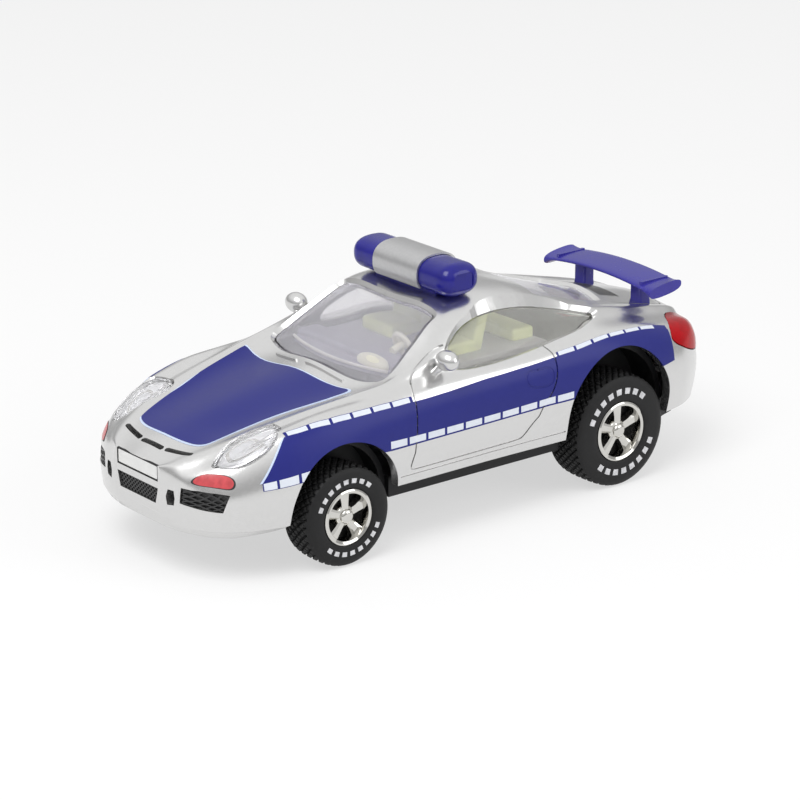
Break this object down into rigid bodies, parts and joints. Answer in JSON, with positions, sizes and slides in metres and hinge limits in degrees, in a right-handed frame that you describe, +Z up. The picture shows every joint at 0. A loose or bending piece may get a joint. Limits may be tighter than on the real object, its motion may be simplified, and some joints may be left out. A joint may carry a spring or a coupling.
{
  "type": "toy police car",
  "caption": "Low silver toy police coupe with a blue roof light bar and rear wing, free-rolling wheels on soft tyres, and a pull-back spring motor geared to its rear axle.",
  "frame": {"origin": "On the ground under the middle of the car, midway between nose and tail.", "axes": "+X to the nose, +Y to the driver's side, which is the car's left, and +Z up."},
  "size_m": [0.0744, 0.0308, 0.0292],
  "materials": {
    "body_silver": "bright silver metallic lacquer",
    "window_tint": "clear moulded panes with a faint lilac-grey tint",
    "reflector": "bright plated bowl",
    "lamp_clear": "clear lens",
    "lamp_red": "red moulded lens",
    "grille_black": "black moulded mesh",
    "plate_white": "white printed plate, left blank",
    "bar_blue": "deep blue moulding that lets a little light through",
    "cover_silver": "satin silver",
    "wing_blue": "blue moulding",
    "cabin_cream": "pale cream moulding",
    "chassis_black": "black moulding",
    "screw_steel": "plain steel",
    "motor_grey": "dark grey moulding",
    "spring_steel": "blued spring steel",
    "gear_ivory": "ivory moulding",
    "shaft_steel": "ground steel",
    "pinion_brass": "cut brass",
    "rim_chrome": "bright plating",
    "tyre_black": "soft black rubber"
  },
  "bodies": {
    "car": {"body_shell": "body_silver", "windscreen": "window_tint", "rear_window": "window_tint", "side_window_left": "window_tint", "side_window_right": "window_tint", "headlight_bowl_left": "reflector", "headlight_bowl_right": "reflector", "headlight_lens_left": "lamp_clear", "headlight_lens_right": "lamp_clear", "tail_lamp_left": "lamp_red", "tail_lamp_right": "lamp_red", "front_grille": "grille_black", "number_plate": "plate_white", "light_bar": "bar_blue", "light_bar_cover": "cover_silver", "rear_wing": "wing_blue", "mirror_left": "body_silver", "mirror_right": "body_silver", "cabin_tub": "cabin_cream", "steering_wheel": "cabin_cream", "chassis": "chassis_black", "chassis_screws": "screw_steel", "motor_case_left": "motor_grey", "motor_case_right": "motor_grey", "mainspring": "spring_steel"},
    "front_axle_set": {"front_axle": "shaft_steel", "front_rim_left": "rim_chrome", "front_rim_right": "rim_chrome", "front_tyre_left": "tyre_black", "front_tyre_right": "tyre_black"},
    "rear_axle_set": {"rear_axle": "shaft_steel", "axle_pinion": "pinion_brass", "rear_rim_left": "rim_chrome", "rear_rim_right": "rim_chrome", "rear_tyre_left": "tyre_black", "rear_tyre_right": "tyre_black"},
    "transfer_set": {"transfer_gear": "gear_ivory", "transfer_shaft": "shaft_steel"},
    "spring_set": {"spring_wheel": "gear_ivory", "spring_shaft": "shaft_steel"}
  },
  "joints": [
    {"name": "front_axle_spin", "type": "hinge", "parent": "car", "child": "front_axle_set", "pos_m": [0.02, 0, 0.00575], "axis": [0, 1, 0], "continuous": true},
    {"name": "rear_axle_spin", "type": "hinge", "parent": "car", "child": "rear_axle_set", "pos_m": [-0.02, 0, 0.00675], "axis": [0, 1, 0], "continuous": true},
    {"name": "transfer_spin", "type": "hinge", "parent": "car", "child": "transfer_set", "pos_m": [-0.01411, 0, 0.01015], "axis": [0, 1, 0], "continuous": true},
    {"name": "spring_spin", "type": "hinge", "parent": "car", "child": "spring_set", "pos_m": [-0.00691, 0, 0.01015], "axis": [0, 1, 0], "continuous": true}
  ],
  "couplings": [
    {"joint": "transfer_spin", "follows": "rear_axle_spin", "ratio": -0.41667},
    {"joint": "spring_spin", "follows": "rear_axle_spin", "ratio": 0.16026}
  ]
}
